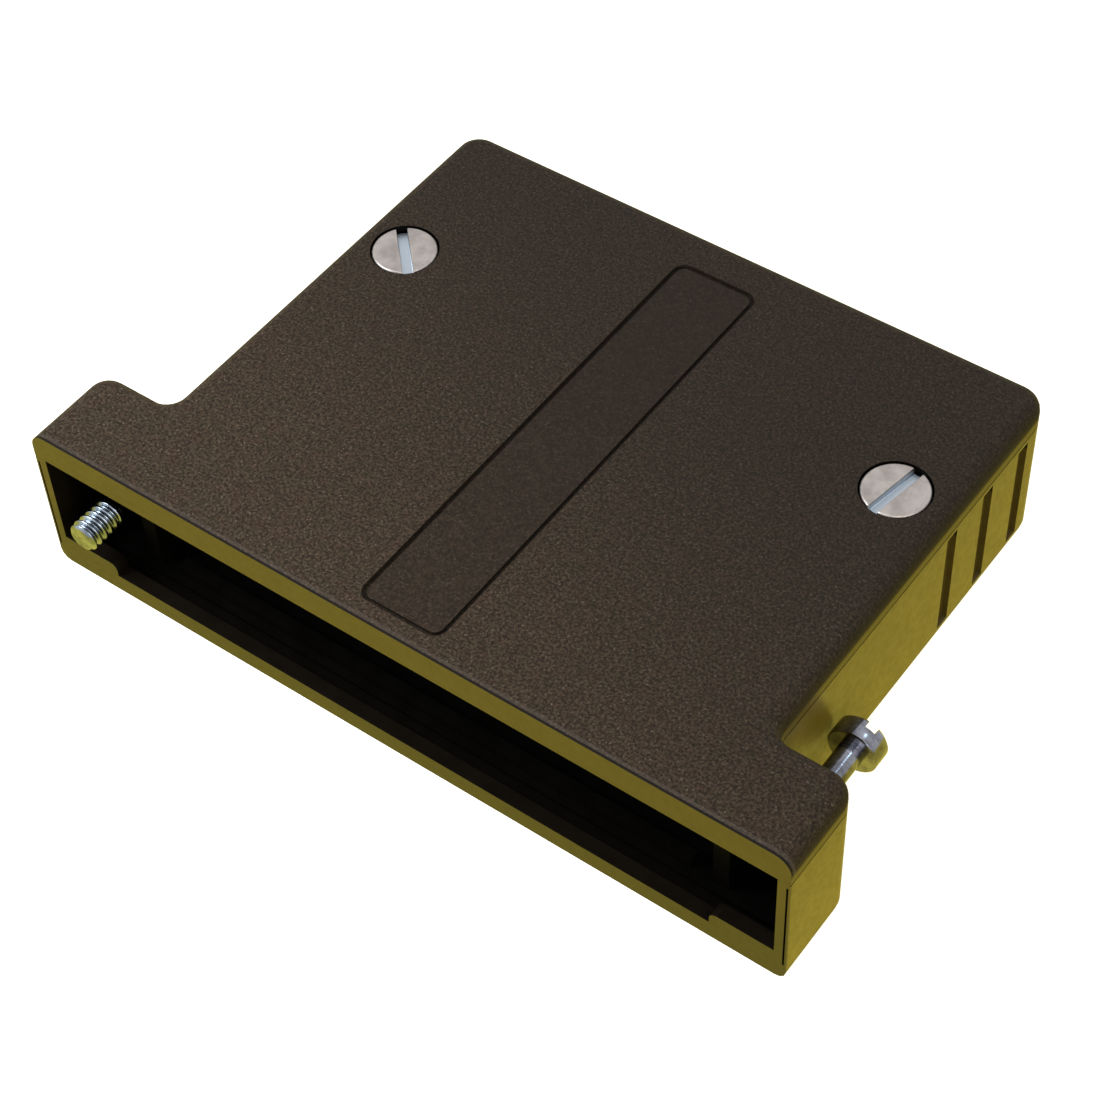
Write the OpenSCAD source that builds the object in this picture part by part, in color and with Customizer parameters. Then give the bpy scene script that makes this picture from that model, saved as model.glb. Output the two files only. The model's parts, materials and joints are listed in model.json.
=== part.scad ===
// Two-part plastic hood for a 37-way D-sub cable connector.
// X runs across the connector, Y from the mating face back to the cable, Z up.
// The origin is the centre of the connector's mouth, in the plane of the front face.

/* [Hood] */
// Width across the ears at the flange end
hood_w = 73; // [72.5:0.1:76]
// Depth from the front face to the back wall
hood_d = 50; // [49:0.1:60]
// Height over both shells
hood_h = 15.5; // [15.3:0.1:17]
// Width of the body behind the ears
body_w = 58.5; // [57.8:0.1:58.6]
// Depth of the ears from the front face
ear_d = 9; // [8.8:0.1:10]
// Height of the connector's centre line above the underside
axis_h = 7.2; // [7.1:0.05:7.5]

/* [Corners] */
// Plan radius of the ears' back corners
ear_r = 2; // [1.8:0.1:3]
// Plan radius of the fillet between an ear and the body
notch_r = 1.4; // [1.2:0.1:2.4]
// Plan radius of the two back corners
back_r = 2.2; // [2.2:0.1:5]
// Rounding along the top edge of the cover
edge_r = 1.5; // [0.8:0.1:1.7]
// Rounding along the bottom edge of the shell
base_r = 1; // [0.4:0.1:1.1]

/* [Walls] */
// Height of the cover's front band, down to the parting plane
cover_h = 2.8; // [2.6:0.1:3.2]
// Thickness of the cover's top plate
plate_t = 1.6; // [1.4:0.1:1.8]
// Thickness of the body's side walls
wall_t = 1.45; // [1.3:0.05:1.6]
// Thickness of the back wall
back_t = 1.6; // [1.4:0.1:2]
// Thickness of the shell's floor
floor_t = 1.4; // [1.2:0.1:1.6]
// Thickness of the wall behind each ear's pocket
ear_wall = 0.8; // [0.8:0.1:1.4]

/* [Connector mouth] */
// Clear width of the mouth
mouth_w = 70.8; // [70:0.1:71]
// Thickness of the lips in front of the connector's flange
lip_t = 1.3; // [1:0.1:1.6]
// Height of the lower lip in the middle of the mouth
lip_h = 1.9; // [1.7:0.1:2.2]
// Height of the raised blocks at the ends of the lower lip
block_h = 3.2; // [2.8:0.1:3.4]
// Distance between the two raised blocks
block_gap = 59.4; // [58:0.1:60]
// Rounding of the blocks' inner corners
block_r = 0.7; // [0.2:0.1:1]
// Width of the slot that takes the connector's flange
slot_t = 1.4; // [1.2:0.1:1.6]
// Height of the connector's flange slot
slot_h = 12.6; // [12.55:0.05:12.7]

/* [Label panel] */
// Width of the bare panel on the cover, with its border groove
label_w = 8; // [6:0.1:12]
// Length of the panel, front to back
label_l = 44.1; // [30:0.1:44.4]
// Distance from the front face to the panel
label_y = 1.75; // [1.5:0.05:3]
// Depth that the panel lies below the cover's top
label_t = 0.08; // [0.05:0.01:0.3]
// Width of the groove round the panel
border_w = 0.4; // [0.2:0.05:0.6]
// Depth of the groove round the panel
border_t = 0.35; // [0.2:0.05:0.6]

/* [Cover screws] */
// Distance between the two cover screws
cover_screw_w = 48.8; // [48:0.1:49]
// Distance from the front face to the cover screws
cover_screw_y = 33.9; // [30:0.1:36]
// Diameter of the flat slotted heads
cover_head_d = 5.7; // [5.5:0.05:5.7]
// Height of the heads
cover_head_h = 2; // [1.6:0.1:2]
// Turn of the left head's slot
left_slot_turn = -46; // [-90:1:90]
// Turn of the right head's slot
right_slot_turn = 80; // [-90:1:90]

/* [Jackscrews] */
// Distance between the two jackscrews
jack_w = 63.5; // [63.4:0.1:63.6]
// Outside diameter of the thread
jack_thread_d = 2.84; // [2.8:0.02:3]
// Diameter of the smooth relieved shank
jack_shank_d = 2.2; // [1.8:0.05:2.25]
// Diameter of the drum head
jack_head_d = 4.4; // [4:0.1:4.6]
// Length of the drum head
jack_head_l = 2; // [1.8:0.1:3]
// Length under the head, shank and thread together
jack_l = 11.95; // [11.9:0.05:15]
// How far a jackscrew can be pulled back from its seat
jack_travel = 7.3; // [6:0.1:7.3]
// How far the left jackscrew stands back from its seat
left_jack_back = 1.75; // [0:0.05:6]
// How far the right jackscrew stands back from its seat
right_jack_back = 7.3; // [0:0.1:7.3]

/* [Cable exit and clamp] */
// Diameter of the cable exit in the back wall
exit_d = 10; // [8:0.1:10]
// Inside diameter of the saddles
saddle_d = 8; // [6:0.1:8.4]
// Width of each saddle along the cable
saddle_l = 5; // [4:0.1:6]
// Distance between the clamp screws
clamp_w = 18.6; // [18.4:0.1:20]
// Distance from the front face to the clamp screws
clamp_y = 42.6; // [41:0.1:43]

/* [Side grooves] */
// Number of grooves on each side
groove_n = 3; // [1:1:3]
// Distance from the front face to the first groove
groove_y = 34.8; // [30:0.1:35]
// Distance between grooves
groove_step = 5.6; // [3:0.1:5.6]
// Width of a groove
groove_w = 1.5; // [0.8:0.1:2]
// Depth of a groove
groove_t = 0.5; // [0.3:0.05:0.6]

/* [Hidden] */
$fn = 64;

part_h = hood_h - cover_h;             // parting plane above the underside
half_w = hood_w / 2;
body_half = body_w / 2;
mouth_half = mouth_w / 2;
room_half = body_half - wall_t;        // inside half width of the body
room_back = hood_d - back_t;           // inside face of the back wall
pocket_out = mouth_half - 0.1;         // outer wall of an ear's pocket
pocket_back = ear_d - ear_wall;
slot_back = lip_t + slot_t;
partition_y = slot_back + 0.7;         // front edge of the walls beside the ears' pockets
roof_h = hood_h - plate_t;             // underside of the cover's plate
over = 20;                             // how far cutters run past the outside
corner_n = 7;                          // facets round a corner of the plan
seam = 0.12;                           // chamfer that shows the parting line
fit_gap = 0.1;                         // clearance between the two shells' tongues
jack_x = jack_w / 2;
screw_x = cover_screw_w / 2;
clamp_x = clamp_w / 2;

// M3 hardware
m3_r = 1.5;
m3_hole_r = 1.65;
m3_nut_af = 5.5;
m3_nut_h = 2.4;
nut_gap = 0.1;                         // clearance on a nut's flats
cover_screw_l = 12;
boss_r = 4.2;
spigot_r = 3.1;                        // cover's boss where it enters the shell
spigot_h = 1.5;

// Jackscrew seats
jack_hole_r = 1.35;                    // smaller than the thread, so the screw stays captive
jack_hole_z = axis_h - 0.55;           // the hole gives the screw room to float
jack_z = jack_hole_z - 0.2;            // a loose screw lies low in its hole
spot_r = 2.6;                          // clearance for the drum head beside the body
jack_relief = jack_travel + ear_wall + 0.05;   // smooth length under the head
jack_slot_w = 0.95;
jack_slot_t = 0.75;

// Cable clamp
saddle_t = 1;
saddle_gap = 1.2;                      // between the saddles' ears
saddle_end = clamp_x + 3.2;
clamp_screw_l = 6;
clamp_head_r = 2.75;
clamp_head_h = 1.8;
post_r = 4.1;
post_h = axis_h - saddle_gap / 2 - saddle_t;

// ---------- outline of the hood in plan, and the rounded skins lofted from it ----------

// Points along an arc
function arc(x, y, r, from, to, n) =
    [for (i = [0:n]) let (a = from + (to - from) * i / n) [x + r * cos(a), y + r * sin(a)]];

// Right side of the plan, front to back, set in by d: ear corner, fillet, back corner
function side_line(d) = concat(
    [[half_w - d, 0]],
    arc(half_w - ear_r, ear_d - ear_r, ear_r - d, 0, 90, corner_n),
    arc(body_half + notch_r, ear_d + notch_r, notch_r + d, 270, 180, corner_n),
    arc(body_half - back_r, hood_d - back_r, back_r - d, 0, 90, corner_n));

// Loft through levels [height, inset]. Level k has its right side at points 2mk on, its left side after
module skin(levels) {
    m = len(side_line(0));
    top = len(levels) - 1;
    ear = corner_n + 1;                // last point of the ear's corner
    points = [for (l = levels) for (s = [1, -1]) for (p = side_line(l[1])) [s * p[0], p[1], l[0]]];
    // across one level, in strips from side to side; the strip behind the ears is six-sided
    strips = [for (i = [0:m - 2]) if (i != ear && i != ear - 1) [i, i + 1, m + i + 1, m + i]];
    flat = concat(strips, [[ear - 1, ear, ear + 1, m + ear + 1, m + ear, m + ear - 1]]);
    walls = [for (k = [0:top - 1]) let (a = 2 * m * k, b = a + 2 * m) each concat(
        [for (i = [0:m - 2]) [a + i, b + i, b + i + 1, a + i + 1]],
        [for (i = [0:m - 2]) [a + m + i + 1, b + m + i + 1, b + m + i, a + m + i]],
        [[a + m, b + m, b, a], [a + m - 1, b + m - 1, b + 2 * m - 1, a + 2 * m - 1]])];
    polyhedron(points = points, faces = concat(
        [for (f = flat) f],
        [for (f = flat) [for (i = [len(f) - 1:-1:0]) f[i] + 2 * m * top]],
        walls));
}

// Levels of a quarter round of radius r that ends at height top
function round_up(top, r, n) =
    [for (i = [0:n]) let (a = 90 * i / n) [top - r + r * sin(a), r - r * cos(a)]];

// Levels of a quarter round of radius r that starts at the underside
function round_down(r, n) =
    [for (i = [0:n]) let (a = 90 * i / n) [r - r * cos(a), r - r * sin(a)]];

// ---------- shapes shared by several sub-parts ----------

// Everything is drawn from the underside, then set on the connector's centre line
module on_axis() { translate([0, 0, -axis_h]) children(); }

module both_sides() { children(); mirror([1, 0, 0]) children(); }

// Flat-sided block between two corners
module block(a, b) { translate(a) cube(b - a); }

// Cylinder along Y, from y0 to y1
module rod(x, z, r, y0, y1) { translate([x, y0, z]) rotate([-90, 0, 0]) cylinder(r = r, h = y1 - y0); }

// Rectangle with round corners
module round_rect(x0, y0, x1, y1, r) {
    polygon(concat(
        arc(x1 - r, y0 + r, r, -90, 0, 8), arc(x1 - r, y1 - r, r, 0, 90, 8),
        arc(x0 + r, y1 - r, r, 90, 180, 8), arc(x0 + r, y0 + r, r, 180, 270, 8)));
}

// Hexagonal prism by its width across flats
module hexagon(af, h) { rotate(30) cylinder(r = af / sqrt(3), h = h, $fn = 6); }

module hex_nut() {
    difference() {
        intersection() {
            hexagon(m3_nut_af, m3_nut_h);
            // both faces of a nut are turned to a shallow cone
            rotate_extrude() polygon([[0, 0], [2.6, 0], [3.3, 0.4], [3.3, m3_nut_h - 0.4],
                                      [2.6, m3_nut_h], [0, m3_nut_h]]);
        }
        translate([0, 0, -1]) cylinder(r = m3_r + 0.02, h = m3_nut_h + 2);
    }
}

// Slotted screw standing on its seat: head above z = 0, shank below
module slotted_screw(head_r, head_h, shank_l, slot_w, slot_t, turn) {
    rotate(turn) difference() {
        rotate_extrude() polygon([[0, -shank_l], [m3_r - 0.3, -shank_l], [m3_r, -shank_l + 0.3], [m3_r, 0],
                                  [head_r, 0], [head_r, head_h - 0.15], [head_r - 0.15, head_h], [0, head_h]]);
        translate([-head_r - 1, -slot_w / 2, head_h - slot_t]) cube([2 * head_r + 2, slot_w, slot_t + 1]);
    }
}

// ---------- bottom shell ----------

// Mouth seen from the front, between and above the two raised blocks
module mouth_profile(top) {
    x = block_gap / 2;
    corner = arc(x + block_r, block_h - block_r, block_r, 180, 90, 6);
    polygon(concat(
        [[-x, lip_h], [x, lip_h]], corner, [[mouth_half, block_h], [mouth_half, top], [-mouth_half, top]],
        [[-mouth_half, block_h]], [for (i = [len(corner) - 1:-1:0]) [-corner[i][0], corner[i][1]]]));
}

// Room behind the connector, the flange slot and the pockets of the two ears
module shell_rooms(top) {
    translate([0, lip_t + 0.1, 0]) rotate([90, 0, 0]) linear_extrude(over) mouth_profile(top);
    // slot for the connector's flange
    block([-mouth_half, lip_t, axis_h - slot_h / 2], [mouth_half, slot_back, top]);
    block([-mouth_half, slot_back - 0.1, floor_t], [mouth_half, partition_y, top]);
    // room of the body
    translate([0, 0, floor_t]) linear_extrude(top - floor_t)
        round_rect(-room_half, slot_back, room_half, room_back, back_r - wall_t);
    block([-room_half, slot_back - 0.1, floor_t], [room_half, slot_back + 3, top]);
    // pockets of the ears
    both_sides() block([body_half, slot_back - 0.1, floor_t], [pocket_out, pocket_back, top]);
}

// Saddle that a jackscrew's shank lies in, open at the parting plane
module jack_saddle() {
    rod(jack_x, jack_hole_z, jack_hole_r, pocket_back - 1, ear_d + 1);
    block([jack_x - jack_hole_r, pocket_back - 1, jack_hole_z], [jack_x + jack_hole_r, ear_d + 1, part_h + 1]);
    rod(jack_x, jack_z, spot_r, ear_d, ear_d + 4);
}

module side_groove(y) {
    block([body_half - groove_t, y - groove_w / 2, 1.3], [body_half + 1, y + groove_w / 2, part_h - 0.4]);
    block([body_half - 1, y + groove_w / 2 - 0.7, part_h - 1], [body_half + 1, y + groove_w / 2, part_h - 0.4]);
}

module clamp_post() {
    translate([clamp_x, clamp_y, floor_t - 0.2]) cylinder(r = post_r, h = post_h - floor_t + 0.2);
}

module bottom_shell() {
    color("#4a4220") on_axis() difference() {
        union() {
            difference() {
                skin(concat(round_down(base_r, 3), [[part_h, 0]]));
                shell_rooms(part_h + 1);
            }
            // bosses under the cover screws
            both_sides() translate([screw_x, cover_screw_y, floor_t - 0.2])
                cylinder(r = boss_r, h = part_h - spigot_h - floor_t + 0.2);
            both_sides() clamp_post();
            // rib that backs the connector's flange
            block([-room_half + 2, partition_y, floor_t - 0.2], [room_half - 2, partition_y + 1, floor_t + 1.2]);
        }
        // cover screw holes, and hexagonal pockets for their nuts
        both_sides() translate([screw_x, cover_screw_y, -1]) {
            cylinder(r = m3_hole_r, h = part_h + 2);
            hexagon(m3_nut_af + 2 * nut_gap, 3.6 + 1);
        }
        both_sides() translate([clamp_x, clamp_y, 0]) {
            translate([0, 0, post_h - m3_nut_h - nut_gap]) hexagon(m3_nut_af + 2 * nut_gap, m3_nut_h + 1);
            translate([0, 0, floor_t + 0.6]) cylinder(r = m3_hole_r, h = post_h);
        }
        both_sides() jack_saddle();
        // cable exit, open at the parting plane
        rod(0, axis_h, exit_d / 2, room_back - 1, hood_d + 1);
        block([-exit_d / 2, room_back - 1, axis_h], [exit_d / 2, hood_d + 1, part_h + 1]);
        both_sides() for (i = [0:groove_n - 1]) side_groove(groove_y + i * groove_step);
        // fine line down the front face of each side wall
        both_sides() block([half_w - 0.35, -1, 1.9], [half_w - 0.18, 0.3, part_h - 0.5]);
    }
}

// ---------- top cover ----------

// Tongue that closes a jackscrew's saddle from above
module jack_tongue() {
    difference() {
        block([jack_x - jack_hole_r + fit_gap, pocket_back, jack_hole_z + 0.8],
              [jack_x + jack_hole_r - fit_gap, ear_d, part_h + 0.5]);
        rod(jack_x, jack_hole_z, jack_hole_r, pocket_back - 1, ear_d + 1);
    }
}

// Tongue that closes the cable exit from above
module exit_tongue() {
    difference() {
        block([-exit_d / 2 + fit_gap, room_back, axis_h + 3.5], [exit_d / 2 - fit_gap, hood_d, part_h + 0.5]);
        rod(0, axis_h, exit_d / 2, room_back - 1, hood_d + 1);
    }
}

// Bare panel, a little below the top, inside a fine border groove
module label_panel() {
    x = label_w / 2;
    y = label_y;
    translate([0, 0, hood_h - label_t]) linear_extrude(1) round_rect(-x, y, x, y + label_l, 1.2);
    translate([0, 0, hood_h - border_t]) linear_extrude(1) difference() {
        round_rect(-x, y, x, y + label_l, 1.2);
        round_rect(-x + border_w, y + border_w, x - border_w, y + label_l - border_w, 0.8);
    }
}

module top_cover() {
    color("#3b332b") on_axis() difference() {
        union() {
            difference() {
                skin(concat([[part_h, seam], [part_h + seam, 0]], round_up(hood_h, edge_r, 6)));
                // slot for the connector's flange
                block([-mouth_half, lip_t, part_h - 1], [mouth_half, slot_back, axis_h + slot_h / 2]);
                // hollow over the body's room and over the ears' pockets
                translate([0, 0, part_h - 1]) linear_extrude(roof_h - part_h + 1)
                    round_rect(-room_half, partition_y, room_half, room_back, back_r - wall_t);
                both_sides() block([body_half, partition_y, part_h - 1], [pocket_out, pocket_back, roof_h]);
            }
            both_sides() translate([screw_x, cover_screw_y, 0]) {
                translate([0, 0, part_h]) cylinder(r = boss_r, h = roof_h - part_h + 0.2);
                translate([0, 0, part_h - spigot_h]) cylinder(r = spigot_r, h = spigot_h + 0.2);
            }
            // locating lips just inside the shell's side walls
            both_sides() for (y = [[12, 29], [39, 44]])
                block([room_half - fit_gap - 0.9, y[0], part_h - 1], [room_half - fit_gap, y[1], roof_h + 0.2]);
            // stiffening ribs under the plate
            for (x = [-14, 14]) block([x - 0.5, partition_y + 3, part_h], [x + 0.5, room_back - 6, roof_h + 0.2]);
            both_sides() jack_tongue();
            exit_tongue();
        }
        label_panel();
        // holes and counterbores of the cover screws
        both_sides() translate([screw_x, cover_screw_y, 0]) {
            translate([0, 0, part_h - 3]) cylinder(r = m3_hole_r, h = 8);
            translate([0, 0, hood_h - cover_head_h]) cylinder(r = cover_head_d / 2 + 0.15, h = 4);
        }
    }
}

// ---------- fasteners ----------

module cover_screw(side, turn) {
    color("#b4aea6") on_axis() translate([side * screw_x, cover_screw_y, hood_h - cover_head_h])
        slotted_screw(cover_head_d / 2, cover_head_h, cover_screw_l, 0.95, 0.7, turn);
}

module cover_nut(side) {
    color("#a8a39b") on_axis() translate([side * screw_x, cover_screw_y, 3.6 - m3_nut_h]) hex_nut();
}

module clamp_screw(side, turn) {
    color("#a8a39b") on_axis()
        translate([side * clamp_x, clamp_y, axis_h + saddle_gap / 2 + saddle_t])
            slotted_screw(clamp_head_r, clamp_head_h, clamp_screw_l, 0.8, 0.9, turn);
}

module clamp_nut(side) {
    color("#a8a39b") on_axis() translate([side * clamp_x, clamp_y, post_h - m3_nut_h]) hex_nut();
}

// ---------- cable saddles ----------

// Half-round trough with a flat ear on each side; drawn with the trough below
module cable_saddle() {
    r = saddle_d / 2;
    difference() {
        intersection() {
            translate([0, clamp_y + saddle_l / 2, 0]) rotate([90, 0, 0]) linear_extrude(saddle_l) {
                difference() {
                    circle(r + saddle_t);
                    circle(r);
                    translate([-20, -saddle_gap / 2]) square([40, 20]);
                }
                for (s = [-1, 1]) translate([s * (r + 0.3 + saddle_end) / 2, -saddle_gap / 2 - saddle_t / 2])
                    square([saddle_end - r - 0.3, saddle_t], center = true);
            }
            translate([0, 0, -10]) linear_extrude(20)
                round_rect(-saddle_end, clamp_y - saddle_l / 2, saddle_end, clamp_y + saddle_l / 2, 2);
        }
        both_sides() translate([clamp_x, clamp_y, -5]) cylinder(r = m3_hole_r, h = 10);
    }
}

module lower_cable_saddle() { color("#9a958d") cable_saddle(); }

module upper_cable_saddle() { color("#9a958d") mirror([0, 0, 1]) cable_saddle(); }

// ---------- jackscrews ----------

// Turned in one piece: slotted drum head, smooth relieved shank, threaded front end
module jackscrew(side, back, turn) {
    c = 0.25;
    head_r = jack_head_d / 2;
    shank_r = jack_shank_d / 2;
    thread_r = jack_thread_d / 2;
    color("#8f9298") translate([side * jack_x, ear_d + back, jack_z - axis_h]) rotate([90, 0, 0]) rotate(turn)
        difference() {
            rotate_extrude() polygon([
                [0, -jack_head_l], [head_r - c, -jack_head_l], [head_r, -jack_head_l + c], [head_r, -c / 2],
                [head_r - c / 2, 0], [shank_r, 0], [shank_r, jack_relief], [thread_r - 0.3, jack_relief],
                [thread_r, jack_relief + 0.3], [thread_r, jack_l - 0.25], [thread_r - 0.25, jack_l], [0, jack_l]]);
            translate([-head_r - 1, -jack_slot_w / 2, -jack_head_l - 1])
                cube([2 * head_r + 2, jack_slot_w, jack_slot_t + 1]);
        }
}

bottom_shell();
top_cover();
cover_screw(-1, left_slot_turn);  // left_cover_screw
cover_screw(1, right_slot_turn);  // right_cover_screw
cover_nut(-1);  // left_cover_nut
cover_nut(1);  // right_cover_nut
jackscrew(-1, left_jack_back, 20);  // left_jackscrew
jackscrew(1, right_jack_back, 68);  // right_jackscrew
lower_cable_saddle();
upper_cable_saddle();
clamp_screw(-1, 30);  // left_clamp_screw
clamp_screw(1, -20);  // right_clamp_screw
clamp_nut(-1);  // left_clamp_nut
clamp_nut(1);  // right_clamp_nut
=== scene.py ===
import bpy
import bmesh
import json
import math
from mathutils import Matrix, Vector
from mathutils.bvhtree import BVHTree


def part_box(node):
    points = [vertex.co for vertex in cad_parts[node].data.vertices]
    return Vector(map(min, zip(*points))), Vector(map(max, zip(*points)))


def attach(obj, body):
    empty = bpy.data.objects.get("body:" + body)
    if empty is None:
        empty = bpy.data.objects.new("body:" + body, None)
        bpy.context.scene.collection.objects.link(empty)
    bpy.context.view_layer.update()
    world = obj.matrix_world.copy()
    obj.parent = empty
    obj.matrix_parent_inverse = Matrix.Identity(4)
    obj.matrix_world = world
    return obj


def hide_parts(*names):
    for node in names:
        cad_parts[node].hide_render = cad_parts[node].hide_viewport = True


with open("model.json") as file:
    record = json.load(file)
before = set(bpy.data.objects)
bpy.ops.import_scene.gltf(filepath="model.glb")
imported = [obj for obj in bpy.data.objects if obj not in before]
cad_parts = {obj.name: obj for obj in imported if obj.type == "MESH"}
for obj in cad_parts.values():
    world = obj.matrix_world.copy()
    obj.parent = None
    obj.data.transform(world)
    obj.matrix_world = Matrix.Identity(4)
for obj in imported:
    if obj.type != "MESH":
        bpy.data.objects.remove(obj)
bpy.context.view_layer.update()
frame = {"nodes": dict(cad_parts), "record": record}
nodes = frame["nodes"]
MM = 0.001

# ---------------------------------------------------------------- top cover
# The upper half of the hood, moulded in black-brown plastic and held down by two screws. Its top is spark
# eroded to a fine grain that runs down the rounding. The narrow band below the rounding and the front edge
# come smooth from the mould.

shell_low, shell_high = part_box("bottom_shell")
UNDERSIDE = shell_low[2]
PARTING = shell_high[2]
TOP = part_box("top_cover")[1][2]

# the grain fades in between these two levels
GRAIN_START = TOP - 2.05 * MM
GRAIN_FULL = TOP - 1.55 * MM
GRAIN_DEPTH = 0.08 * MM

# the bare label panel down the middle of the lid, and the groove that frames it
PANEL_HALF = 3.6 * MM
PANEL_FRONT = 2.1 * MM
PANEL_BACK = 45.5 * MM
PANEL_FADE = 0.02 * MM
BORDER_HALF = 4.7 * MM
BORDER_FADE = 0.1 * MM


class Nodes:
    # a short way of writing a material: each call adds one node, and sets or links what it is given
    def __init__(self, name):
        self.mat = bpy.data.materials.new(name)
        self.mat.use_nodes = True
        self.tree = self.mat.node_tree
        self.tree.nodes.clear()
        self.out = self.tree.nodes.new("ShaderNodeOutputMaterial")
        place = self.add("TexCoord")
        self.at = place.outputs["Object"]
        self.x, self.y, self.z = self.add("SeparateXYZ", Vector=self.at).outputs
        self.up = self.add("SeparateXYZ", Vector=place.outputs["Normal"]).outputs["Z"]

    def add(self, kind, props=None, **inputs):
        n = self.tree.nodes.new("ShaderNode" + kind)
        for key, value in (props or {}).items():
            setattr(n, key, value)
        for key, value in inputs.items():
            self.put(n, key.replace("_", " "), value)
        return n

    def put(self, n, key, value):
        socket = n.inputs[key]
        if isinstance(value, bpy.types.NodeSocket):
            self.tree.links.new(value, socket)
        elif socket.type == "RGBA" and len(value) == 3:
            socket.default_value = (*value, 1.0)
        else:
            socket.default_value = value

    def math(self, op, a, b=0.0):
        n = self.add("Math", {"operation": op})
        self.put(n, 0, a)
        self.put(n, 1, b)
        return n.outputs[0]

    def times(self, a, b):
        return self.math("MULTIPLY", a, b)

    def span(self, value, lo, hi, to_lo=0.0, to_hi=1.0):
        # goes smoothly from to_lo to to_hi while the value goes from lo to hi
        n = self.add("MapRange", {"interpolation_type": "SMOOTHSTEP"})
        self.put(n, "Value", value)
        self.put(n, "From Min", lo)
        self.put(n, "From Max", hi)
        self.put(n, "To Min", to_lo)
        self.put(n, "To Max", to_hi)
        return n.outputs[0]

    def between(self, value, lo, hi, soft):
        # 1 where the value lies between lo and hi, 0 outside
        rise = self.span(value, lo - soft, lo)
        fall = self.span(value, hi, hi + soft, 1.0, 0.0)
        return self.times(rise, fall)

    def mix(self, fac, a, b):
        # colour a where fac is 0, colour b where it is 1
        n = self.add("Mix", {"data_type": "RGBA"})
        self.put(n, 0, fac)
        self.put(n, 6, a)
        self.put(n, 7, b)
        return n.outputs[2]

    def noise(self, scale, detail=2.0, rough=0.5):
        n = self.add("TexNoise", Vector=self.at, Scale=scale, Detail=detail, Roughness=rough)
        return n.outputs["Fac"]

    def bump(self, height, strength, distance):
        n = self.add("Bump", Height=height, Strength=strength, Distance=distance)
        return n.outputs[0]

    def finish(self, **inputs):
        bsdf = self.add("BsdfPrincipled", **inputs)
        self.tree.links.new(bsdf.outputs[0], self.out.inputs[0])
        return self.mat


def srgb(*levels):
    # a colour as it is seen, in levels of 0 to 255, turned into amounts of light
    parts = [level / 255 for level in levels]
    return tuple(c / 12.92 if c <= 0.04045 else ((c + 0.055) / 1.055) ** 2.4 for c in parts)


# the olive of the smooth outside is a painted reflection of the yellow table, painted brighter low down and
# darker toward the parting line
OLIVE = srgb(116, 100, 30)
OLIVE_LOW = srgb(129, 112, 33)
OLIVE_HIGH = srgb(108, 93, 31)
OLIVE_BAND = srgb(92, 79, 28)
OLIVE_MOTTLE = srgb(84, 72, 25)

PIT_BROWN = srgb(28, 20, 15)
PEAK_BROWN = srgb(87, 72, 58)
REDDER_BROWN = srgb(62, 43, 32)
GREENER_BROWN = srgb(49, 46, 28)
# painted glints on the grain's peaks
GLINT_GREY = srgb(140, 130, 122)
# painted shade for the lid's rear right corner
FALLOFF_SHADE_BROWN = srgb(13, 10, 6)
PANEL_BROWN = srgb(34, 25, 17)
# painted shade in the groove round the label panel
FRAME_SHADE_BROWN = srgb(18, 13, 9)
# painted shade on the rounding, and a painted highlight line and painted shadow line at the front edge
ROUNDING_SHADE_BROWN = srgb(26, 21, 13)
HIGHLIGHT_LINE = srgb(98, 90, 84)
SHADOW_LINE = srgb(12, 9, 5)


def olive_reflection_tone(m):
    # the olive of the smooth walls is a painted reflection of the yellow table: painted brightest low down,
    # darker toward the parting line and darker still on the band above it; the mottle is the plastic's own
    low = m.mix(m.span(m.z, UNDERSIDE + 0.7 * MM, UNDERSIDE + 9.2 * MM), OLIVE_LOW, OLIVE)
    high = m.mix(m.span(m.z, PARTING - 2.0 * MM, PARTING - 0.1 * MM), low, OLIVE_HIGH)
    band = m.mix(m.span(m.z, PARTING, PARTING + 0.1 * MM), high, OLIVE_BAND)
    mottle = m.span(m.noise(420.0, 4.0, 0.6), 0.3, 0.7)
    return m.mix(m.times(mottle, 0.35), band, OLIVE_MOTTLE)


def grain_tone(m, grain, coarse):
    # dark pits and paler peaks, clouded between a redder and a greener brown, with painted glints on some of
    # the peaks
    tone = m.mix(m.span(grain, 0.34, 0.66), PIT_BROWN, PEAK_BROWN)
    cloud = m.mix(m.span(m.noise(900.0, 3.0, 0.6), 0.4, 0.6), REDDER_BROWN, GREENER_BROWN)
    tone = m.mix(m.span(coarse, 0.3, 0.7, 0.12, 0.34), tone, cloud)
    fine = m.noise(7000.0, 1.0, 0.5)
    glint = m.times(m.span(fine, 0.58, 0.70), m.span(grain, 0.5, 0.62))
    return m.mix(m.times(glint, 0.7), tone, GLINT_GREY)


def painted_light_falloff(m, tone):
    # painted light and shade: the lid is painted paler near the mouth, where the sheen lies, and painted
    # darker toward the rear right corner
    along = m.math("ADD", m.y, m.times(m.x, 0.35))
    return m.mix(m.span(along, -6.0 * MM, 42.0 * MM, 0.0, 0.58), tone, FALLOFF_SHADE_BROWN)


def panel_tone(m, tone):
    # the label panel is a shade darker, and the groove that frames it gets painted shade that deepens with
    # depth
    across = m.between(m.x, -PANEL_HALF, PANEL_HALF, PANEL_FADE)
    along = m.between(m.y, PANEL_FRONT, PANEL_BACK, PANEL_FADE)
    tone = m.mix(m.times(m.times(across, along), 0.55), tone, PANEL_BROWN)
    framed = m.between(m.x, -BORDER_HALF, BORDER_HALF, BORDER_FADE)
    deep = m.span(m.z, TOP - 0.3 * MM, TOP - 0.1 * MM, 0.55, 0.0)
    return m.mix(m.times(framed, deep), tone, FRAME_SHADE_BROWN)


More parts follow.
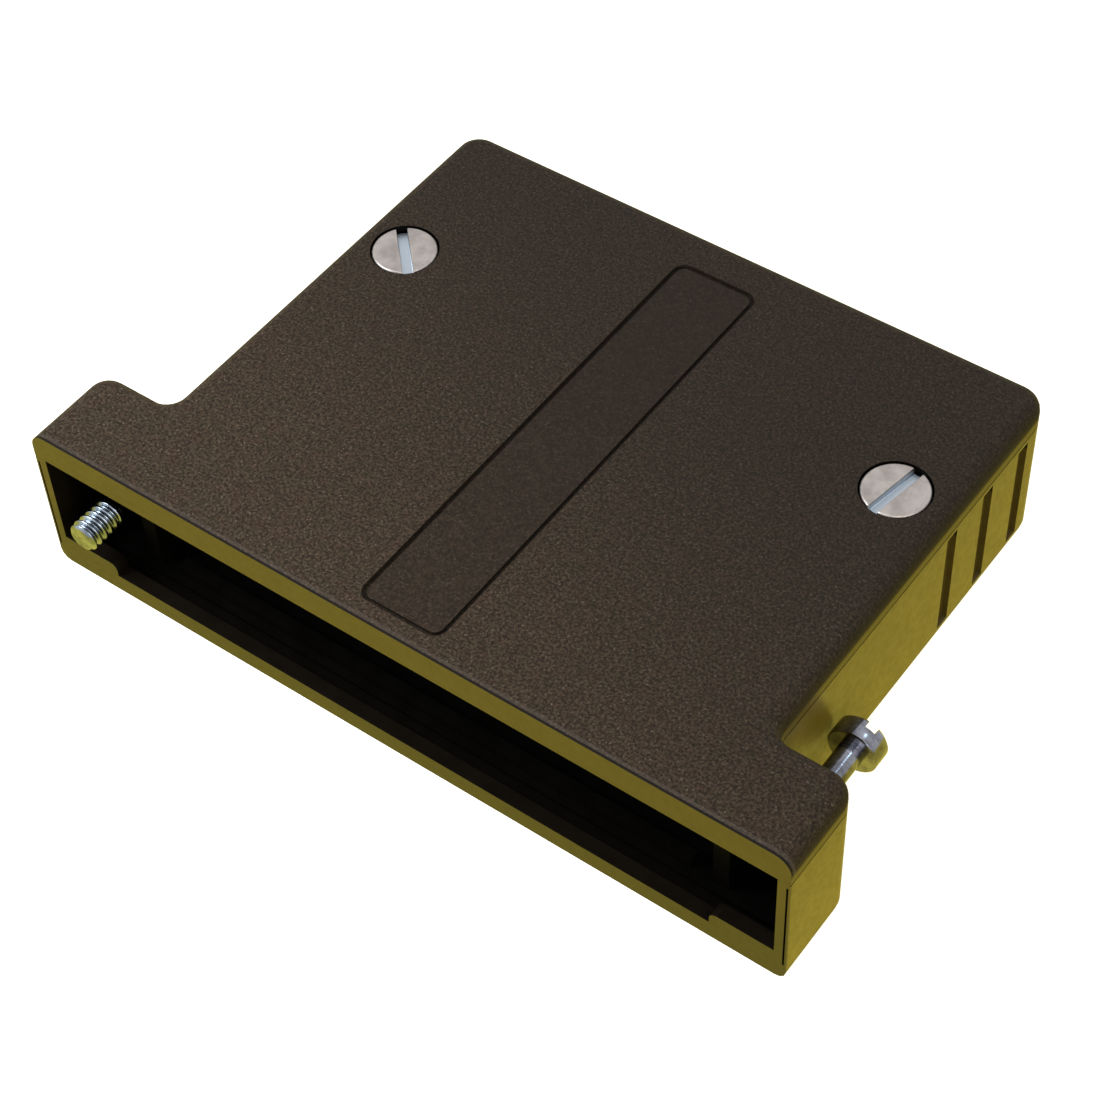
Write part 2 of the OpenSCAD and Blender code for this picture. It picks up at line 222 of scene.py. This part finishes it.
def edge_tone(m, tone):
    # painted shade darkens the rounding as it turns down from the top, and a painted highlight line and a
    # painted shadow line mark where the lid meets the front edge
    tone = m.mix(m.span(m.up, 0.25, 0.85, 0.65, 0.0), tone, ROUNDING_SHADE_BROWN)
    pale = m.between(m.y, 0.3 * MM, 0.5 * MM, 0.1 * MM)
    tone = m.mix(m.times(pale, 0.35), tone, HIGHLIGHT_LINE)
    dark = m.span(m.y, 0.17 * MM, 0.27 * MM, 0.95, 0.0)
    return m.mix(dark, tone, SHADOW_LINE)


def grained_plastic():
    m = Nodes("grained_plastic")
    grain = m.noise(4200.0, 3.0, 0.65)
    coarse = m.noise(1300.0, 2.0, 0.5)
    tone = painted_light_falloff(m, grain_tone(m, grain, coarse))
    tone = edge_tone(m, panel_tone(m, tone))
    height = m.math("ADD", m.times(grain, 0.7), m.times(coarse, 0.3))
    strength = m.span(m.z, GRAIN_START, GRAIN_FULL, 0.05, 0.9)
    return m.finish(Base_Color=m.mix(m.span(m.z, GRAIN_START, GRAIN_FULL), olive_reflection_tone(m), tone),
                    Roughness=m.span(m.z, GRAIN_START, GRAIN_FULL, 0.36, 0.6),
                    Specular_IOR_Level=0.15,
                    Normal=m.bump(height, strength, GRAIN_DEPTH))


def smooth_plastic():
    # satin on the outside, in the painted olive reflection of the table; the front edge is painted a darker
    # olive, and darkest on the lower lip
    m = Nodes("smooth_plastic")
    fine = m.noise(1800.0, 2.0)
    mottle = m.noise(420.0, 4.0, 0.6)
    # painted olive reflection on the front edge, darker on the rim and darkest on the lower lip
    rim = m.mix(mottle, srgb(65, 56, 20), srgb(86, 73, 27))
    lip = m.mix(mottle, srgb(50, 44, 16), srgb(68, 60, 22))
    front = m.span(m.y, 0.02 * MM, 0.3 * MM, 1.0, 0.0)
    tone = m.mix(front, olive_reflection_tone(m), m.mix(m.span(m.z, -3.0 * MM, 3.0 * MM), lip, rim))
    return m.finish(Base_Color=tone, Roughness=m.span(fine, 0.3, 0.7, 0.3, 0.4),
                    Specular_IOR_Level=0.4, Normal=m.bump(fine, 0.06, 0.03 * MM))


def inner_plastic():
    # plain moulded walls inside, with painted shade that darkens them to near black behind the mouth
    m = Nodes("inner_plastic")
    mottle = m.noise(500.0, 3.0)
    near = m.mix(mottle, srgb(12, 9, 6), srgb(22, 17, 11))
    # painted shade: darker the deeper inside
    return m.finish(Base_Color=m.mix(m.span(m.y, 0.8 * MM, 3.0 * MM), near, srgb(4, 3, 2)),
                    Roughness=m.span(mottle, 0.3, 0.7, 0.5, 0.65),
                    Specular_IOR_Level=0.05, Normal=m.bump(mottle, 0.08, 0.04 * MM))


GRAINED = grained_plastic()
SMOOTH = smooth_plastic()
INNER = inner_plastic()

WELD = 0.002 * MM
FLAT = math.radians(1)
SHARP = math.radians(28)
EDGE_STEPS = 2


def body_of(name):
    for body, members in frame["record"]["behaviour"]["bodies"].items():
        if name in members:
            return body
    return "root"


def finished(name, width, materials, choose=None, keep=None):
    # a copy of a CAD node, drawn in that node's place, with its sharp edges broken by the given width;
    # choose names the material of each face, and keep says which points of the copy stay
    mesh = nodes[name].data.copy()
    mesh.materials.clear()
    for material in materials:
        mesh.materials.append(material)
    obj = bpy.data.objects.new("finished_" + name, mesh)
    bpy.context.scene.collection.objects.link(obj)
    bm = bmesh.new()
    bm.from_mesh(mesh)
    bmesh.ops.remove_doubles(bm, verts=bm.verts, dist=WELD)
    if keep:
        cut = [v for v in bm.verts if not keep(v.co)]
        bmesh.ops.delete(bm, geom=cut, context="VERTS")
    bm.normal_update()
    tree = BVHTree.FromBMesh(bm)
    for f in bm.faces:
        f.smooth = True
        f.material_index = materials.index(choose(f, tree)) if choose else 0
    bmesh.ops.dissolve_limit(bm, angle_limit=FLAT, verts=bm.verts, edges=bm.edges, delimit={"MATERIAL"})
    bm.to_mesh(mesh)
    bm.free()
    bevel = obj.modifiers.new("edges", "BEVEL")
    bevel.width = width
    bevel.segments = EDGE_STEPS
    bevel.limit_method = "ANGLE"
    bevel.angle_limit = SHARP
    bevel.use_clamp_overlap = True
    normals = obj.modifiers.new("normals", "WEIGHTED_NORMAL")
    normals.keep_sharp = True
    normals.weight = 60
    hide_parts(name)
    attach(obj, body_of(name))
    return obj


# a face looks squarely up or forward when its normal leans less than about 45 degrees from that way,
# and it is turned up or down at all when its normal rises or falls by more than the second value
SQUARE = 0.7
TURNED = 0.3
# the front edge lies within the first depth, and the walls inside start behind the second
FRONT_EDGE = 0.05 * MM
INSIDE_FROM = 0.1 * MM
CLEAR_OF_FACE = 0.02 * MM
ACROSS_HOOD = 75 * MM


def on_front(f):
    # the flat edge round the mouth
    return f.normal.y < -SQUARE and f.calc_center_median().y < FRONT_EDGE


def behind_front(f):
    # a wall inside that looks out through the mouth
    return f.normal.y < -SQUARE and f.calc_center_median().y > INSIDE_FROM


def sheltered(f, tree):
    # true for a face that looks across a hollow at another wall of the same piece
    start = f.calc_center_median() + f.normal * CLEAR_OF_FACE
    return tree.ray_cast(start, f.normal, ACROSS_HOOD)[0] is not None


def cover_face(f, tree):
    # the grain covers the outside and the panel's frame; under the lid and in the counterbores it is plain
    place = f.calc_center_median()
    if on_front(f):
        return SMOOTH
    if place.z > TOP - 0.8 * MM and abs(place.x) < BORDER_HALF + 0.3 * MM and f.normal.z > -TURNED:
        return GRAINED
    screw_seat = f.normal.z > SQUARE and place.z < TOP - 1.7 * MM
    if f.normal.z < -TURNED or behind_front(f) or screw_seat or sheltered(f, tree):
        return INNER
    return GRAINED


COVER_EDGE = 0.10 * MM
cover = finished("top_cover", COVER_EDGE, [GRAINED, SMOOTH, INNER], cover_face)

# ---------------------------------------------------------------- bottom shell
# The lower half, moulded in the same plastic and smooth outside. It carries the connector's mouth, the three
# shallow grooves on each side and the bosses that the screws run into. Inside, it is plain and dark.

BODY_HALF = 29.25 * MM
GROOVES_FRONT = 33.9 * MM
GROOVES_BACK = 46.9 * MM
GROOVES_LOW = UNDERSIDE + 1.2 * MM
GROOVES_HIGH = PARTING - 0.3 * MM
GROOVES_DEEP = 1.2 * MM


def groove_plastic():
    # the grooves are painted darker as shade; each ends at the top in a small deeper notch, painted darker
    # still as shade
    m = Nodes("groove_plastic")
    mottle = m.noise(900.0, 3.0)
    tone = m.mix(mottle, srgb(66, 54, 20), srgb(90, 76, 28))
    # painted shade in the notch at the top of each groove
    notch = m.span(m.z, PARTING - 1.4 * MM, PARTING - 1.0 * MM)
    return m.finish(Base_Color=m.mix(notch, tone, srgb(16, 13, 8)),
                    Roughness=m.span(mottle, 0.3, 0.7, 0.4, 0.5),
                    Specular_IOR_Level=0.3, Normal=m.bump(mottle, 0.1, 0.03 * MM))


GROOVE = groove_plastic()


def in_groove(f):
    # a face of a side groove lies within the grooves' stretch of the wall and below the wall's skin
    place = f.calc_center_median()
    sunk = BODY_HALF - GROOVES_DEEP < abs(place.x) < BODY_HALF - CLEAR_OF_FACE
    along = GROOVES_FRONT < place.y < GROOVES_BACK
    return sunk and along and GROOVES_LOW < place.z < GROOVES_HIGH


def shell_face(f, tree):
    # smooth outside, the grooves in their painted shade, and what looks up or inward is plain
    if on_front(f):
        return SMOOTH
    if in_groove(f):
        return GROOVE
    if f.normal.z > TURNED or behind_front(f) or sheltered(f, tree):
        return INNER
    return SMOOTH


SHELL_EDGE = 0.12 * MM
shell = finished("bottom_shell", SHELL_EDGE, [SMOOTH, INNER, GROOVE], shell_face)

# ---------------------------------------------------------------- screws and nuts
# Slotted steel screws, turned and plated, sit in the lid's two counterbores and run down to nuts under the
# shell. Two shorter ones draw the cable saddles together.

low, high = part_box("right_cover_screw")
SCREW_X = (low[0] + high[0]) / 2
SCREW_Y = (low[1] + high[1]) / 2
HEAD_TOP = high[2]
RING = 0.24 * MM
STEEL_BUMP = 0.02 * MM
SCREW_EDGE = 0.08 * MM
NUT_EDGE = 0.06 * MM


def turned_steel(name, base, dark, rough, marks=None, blend=0.0):
    # clouded plating over fine turning marks; marks gives the height of the rings that the tool left
    m = Nodes(name)
    cloud = m.noise(700.0, 4.0, 0.6)
    fine = m.noise(5200.0, 2.0, 0.6)
    tone = m.mix(m.span(cloud, 0.3, 0.7), dark, base)
    height = fine
    if marks:
        rings = marks(m)
        height = m.math("ADD", fine, m.times(rings, 0.8))
        tone = m.mix(m.times(m.span(rings, 0.55, 0.95), blend), tone, dark)
    roughness = m.span(fine, 0.3, 0.7, rough - 0.05, rough + 0.07)
    normal = m.bump(height, 0.12, STEEL_BUMP)
    return m, dict(Base_Color=tone, Metallic=1.0, Roughness=roughness, Normal=normal)


def tool_rings(m, distance, patches):
    # even rings a step of the tool apart, deeper in some patches than in others
    wave = m.math("SINE", m.times(distance, 2 * math.pi / RING))
    return m.times(m.math("ADD", wave, 1.0), m.noise(patches, 2.0))


def facing_rings(m):
    # circles about the axis of either cover screw
    dx = m.math("SUBTRACT", m.math("ABSOLUTE", m.x), SCREW_X)
    dy = m.math("SUBTRACT", m.y, SCREW_Y)
    radius = m.math("SQRT", m.math("ADD", m.times(dx, dx), m.times(dy, dy)))
    return tool_rings(m, radius, 900.0)


def cover_screw_steel():
    # the sawn slot is painted paler and bluer than the faced head, a painted highlight
    base = srgb(186, 178, 173)
    dark = srgb(158, 150, 146)
    m, look = turned_steel("cover_screw_steel", base, dark, 0.42, facing_rings, 0.3)
    slot = m.span(m.z, HEAD_TOP - 0.5 * MM, HEAD_TOP - 0.2 * MM, 1.0, 0.0)
    # painted highlight in the slot
    look["Base_Color"] = m.mix(slot, look["Base_Color"], srgb(186, 196, 206))
    return m.finish(**look)


def plain_steel(*args):
    m, look = turned_steel(*args)
    return m.finish(**look)


BRIGHT = cover_screw_steel()
DULL = plain_steel("dull_steel", srgb(172, 173, 178), srgb(132, 133, 138), 0.28)

for name in ("left_cover_screw", "right_cover_screw"):
    finished(name, SCREW_EDGE, [BRIGHT])
for name in ("left_clamp_screw", "right_clamp_screw"):
    finished(name, SCREW_EDGE, [DULL])
for name in ("left_cover_nut", "right_cover_nut", "left_clamp_nut", "right_clamp_nut"):
    finished(name, NUT_EDGE, [DULL])

# ---------------------------------------------------------------- cable saddles
# Two straps pressed from steel strip grip the cable just inside the exit, one from below and one from above.
# The clamp screws pass through their flat ears and draw them together.

SADDLE_EDGE = 0.08 * MM
STRAP = plain_steel("strap_steel", srgb(152, 148, 138), srgb(120, 117, 109), 0.42)
for name in ("lower_cable_saddle", "upper_cable_saddle"):
    finished(name, SADDLE_EDGE, [STRAP])

# ---------------------------------------------------------------- jackscrews
# Each is turned from steel bar in one piece, with a slotted drum head, a smooth shank and a 4-40 thread at
# the front end. The thread is wider than the hole in the ear that the shank runs in, and so keeps it captive.

PITCH = 0.635 * MM
THREAD_L = 3.8 * MM
HEAD_L = 2.0 * MM
CREST_R = 1.40 * MM
ROOT_R = 1.08 * MM
SHANK_R = 1.1 * MM
TIP_R = 1.14 * MM
TIP_SLOPE = 1.1
# a ridge rises over this share of the half turn on either side of its crest, after a flat root
ROOT_SHARE = 0.10
FLANK_SHARE = 0.72
# lengths over which the ridge runs out and the root comes up to the shank
RIDGE_RUN_OUT = 0.4 * MM
ROOT_RUN_OUT = 1.0 * MM
AROUND = 64
RINGS_A_TURN = 14
JACK_EDGE = 0.08 * MM
BEARING_GAP = 0.02 * MM


def turning_rings(m):
    # circles round the jackscrews, which lie along y
    return tool_rings(m, m.y, 600.0)


JACK = plain_steel("jackscrew_steel", srgb(156, 158, 168), srgb(98, 98, 106), 0.15, turning_rings, 0.3)
# the thread is the same steel as the jackscrew, painted paler and bluer as a painted highlight
THREAD = plain_steel("thread_steel", srgb(176, 188, 200), srgb(116, 126, 138), 0.2)


def thread_radius(along, turn):
    # a right-handed helical ridge, tapered at the tip and run out into the shank
    left = THREAD_L - along
    phase = (along / PITCH + turn / (2 * math.pi)) % 1.0
    ridge = min(1.0, max(0.0, (1 - abs(2 * phase - 1) - ROOT_SHARE) / FLANK_SHARE))
    depth = (CREST_R - ROOT_R) * min(1.0, left / RIDGE_RUN_OUT)
    root = SHANK_R + (ROOT_R - SHANK_R) * min(1.0, left / ROOT_RUN_OUT)
    return min(TIP_R + along * TIP_SLOPE, root + depth * ridge)


def threaded_end(name, x, tip_y, z):
    rings = int(THREAD_L / PITCH * RINGS_A_TURN)
    verts = []
    for i in range(rings + 1):
        along = THREAD_L * i / rings
        for j in range(AROUND):
            turn = 2 * math.pi * j / AROUND
            r = thread_radius(along, turn)
            verts.append((x + r * math.cos(turn), tip_y + along, z + r * math.sin(turn)))
    faces = []
    for i in range(rings):
        for j in range(AROUND):
            k = (j + 1) % AROUND
            faces.append((i * AROUND + j, (i + 1) * AROUND + j, (i + 1) * AROUND + k, i * AROUND + k))
    faces.append(tuple(range(AROUND)))
    faces.append(tuple(rings * AROUND + j for j in reversed(range(AROUND))))
    mesh = bpy.data.meshes.new(name)
    mesh.from_pydata(verts, [], faces)
    mesh.update()
    for f in mesh.polygons[:-2]:
        f.use_smooth = True
    obj = bpy.data.objects.new(name, mesh)
    bpy.context.scene.collection.objects.link(obj)
    mesh.materials.append(THREAD)
    return obj


for side in ("left", "right"):
    low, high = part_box(side + "_jackscrew")
    axis_x = (low[0] + high[0]) / 2
    axis_z = (low[2] + high[2]) / 2
    shoulder = low[1] + THREAD_L - 0.05 * MM
    body = finished(side + "_jackscrew", JACK_EDGE, [JACK], keep=lambda place: place.y > shoulder)
    # the head's bearing face stands a hair off the ear when the screw is driven home
    bearing_y = high[1] - HEAD_L
    for v in body.data.vertices:
        if abs(v.co.y - bearing_y) < 0.01 * MM:
            v.co.y += BEARING_GAP
    thread = threaded_end(side + "_jackscrew_thread", axis_x, low[1], axis_z)
    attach(thread, side + "_jack")

# ---------------------------------------------------------------- table, light and camera
# The hood lies on a pale yellow table that washes out to white, under soft light from a window and the room.
# The camera stands to the right of the mouth and looks down on the lid.


def table_material():
    # seen straight it washes out to white and keeps the hood's shadow; metal mirrors its pale yellow
    m = Nodes("pale_table")
    cloud = m.noise(12.0, 3.0)
    yellow = m.mix(cloud, srgb(238, 220, 92), srgb(242, 226, 108))
    shaded = m.add("BsdfDiffuse", Color=(0.85, 0.85, 0.85))
    glow = m.add("Emission", Color=(0.86, 0.82, 0.70), Strength=1.0)
    seen = m.add("AddShader")
    m.put(seen, 0, shaded.outputs[0])
    m.put(seen, 1, glow.outputs[0])
    mirrored = m.add("Emission", Color=yellow, Strength=1.0)
    bounced = m.add("BsdfDiffuse", Color=yellow)
    path = m.add("LightPath").outputs
    glossy = m.math("MAXIMUM", path["Is Glossy Ray"], path["Is Transmission Ray"])
    others = m.add("MixShader", Fac=glossy)
    m.put(others, 1, bounced.outputs[0])
    m.put(others, 2, mirrored.outputs[0])
    mixed = m.add("MixShader", Fac=path["Is Camera Ray"])
    m.put(mixed, 1, others.outputs[0])
    m.put(mixed, 2, seen.outputs[0])
    m.tree.links.new(mixed.outputs[0], m.out.inputs[0])
    return m.mat


TABLE_HALF = 3.0
corners = [(-TABLE_HALF, -TABLE_HALF, 0), (TABLE_HALF, -TABLE_HALF, 0),
           (TABLE_HALF, TABLE_HALF, 0), (-TABLE_HALF, TABLE_HALF, 0)]
table_mesh = bpy.data.meshes.new("table")
table_mesh.from_pydata(corners, [], [(0, 1, 2, 3)])
table = bpy.data.objects.new("table", table_mesh)
table.location = (0, 0, UNDERSIDE)
table.data.materials.append(table_material())
bpy.context.scene.collection.objects.link(table)


def soft_box(name, at, look, size, watts, colour):
    data = bpy.data.lights.new(name, "AREA")
    data.size = size
    data.energy = watts
    data.color = colour
    lamp = bpy.data.objects.new(name, data)
    lamp.location = at
    lamp.rotation_euler = (Vector(look) - Vector(at)).to_track_quat("-Z", "Y").to_euler()
    bpy.context.scene.collection.objects.link(lamp)


COOL = (0.92, 0.97, 1.0)
WARM = (1.0, 0.97, 0.9)
BLUE = (0.6, 0.85, 1.0)
soft_box("window", at=(-0.16, -0.10, 0.18), look=(0, 0.01, 0), size=0.12, watts=0.50, colour=COOL)
soft_box("fill", at=(0.45, -0.35, 0.35), look=(0, 0.02, 0), size=0.4, watts=1.9, colour=WARM)
soft_box("sky", at=(0.16, 0.24, 0.32), look=(0.03, 0.01, 0), size=0.05, watts=0.06, colour=BLUE)

# the room lights the hood evenly; seen straight, and mirrored in metal, it is white
ROOM_LIGHT = (0.31, 0.295, 0.265, 1.0)
WHITE = (1.0, 1.0, 1.0, 1.0)
scene = bpy.context.scene
world = bpy.data.worlds.new("room")
scene.world = world
world.use_nodes = True
tree = world.node_tree
room = tree.nodes["Background"]
path = tree.nodes.new("ShaderNodeLightPath")
pick = tree.nodes.new("ShaderNodeMix")
pick.data_type = "RGBA"
pick.inputs[6].default_value = ROOM_LIGHT
pick.inputs[7].default_value = WHITE
seen = path.outputs["Is Camera Ray"]
for ray in ("Is Glossy Ray", "Is Transmission Ray"):
    either = tree.nodes.new("ShaderNodeMath")
    either.operation = "MAXIMUM"
    tree.links.new(seen, either.inputs[0])
    tree.links.new(path.outputs[ray], either.inputs[1])
    seen = either.outputs[0]
tree.links.new(seen, pick.inputs[0])
tree.links.new(pick.outputs[2], room.inputs["Color"])
room.inputs["Strength"].default_value = 1.0
scene.view_settings.view_transform = "Standard"

# the camera's own right, up and back directions turn it, and then it is moved to its place
RIGHT = Vector((0.808016, 0.588028, -0.036521))
UP = Vector((-0.430331, 0.631389, 0.645107))
BACK = Vector((0.4024, -0.50554, 0.763219))
CAMERA_AT = (0.085724, -0.086848, 0.16006)
camera_data = bpy.data.cameras.new("camera")
camera_data.sensor_width = 36.0
camera_data.lens = 84.55
camera_data.clip_start = 0.01
camera = bpy.data.objects.new("camera", camera_data)
scene.collection.objects.link(camera)
turned = Matrix((RIGHT, UP, BACK)).transposed().to_4x4()
camera.matrix_world = Matrix.Translation(CAMERA_AT) @ turned
scene.camera = camera
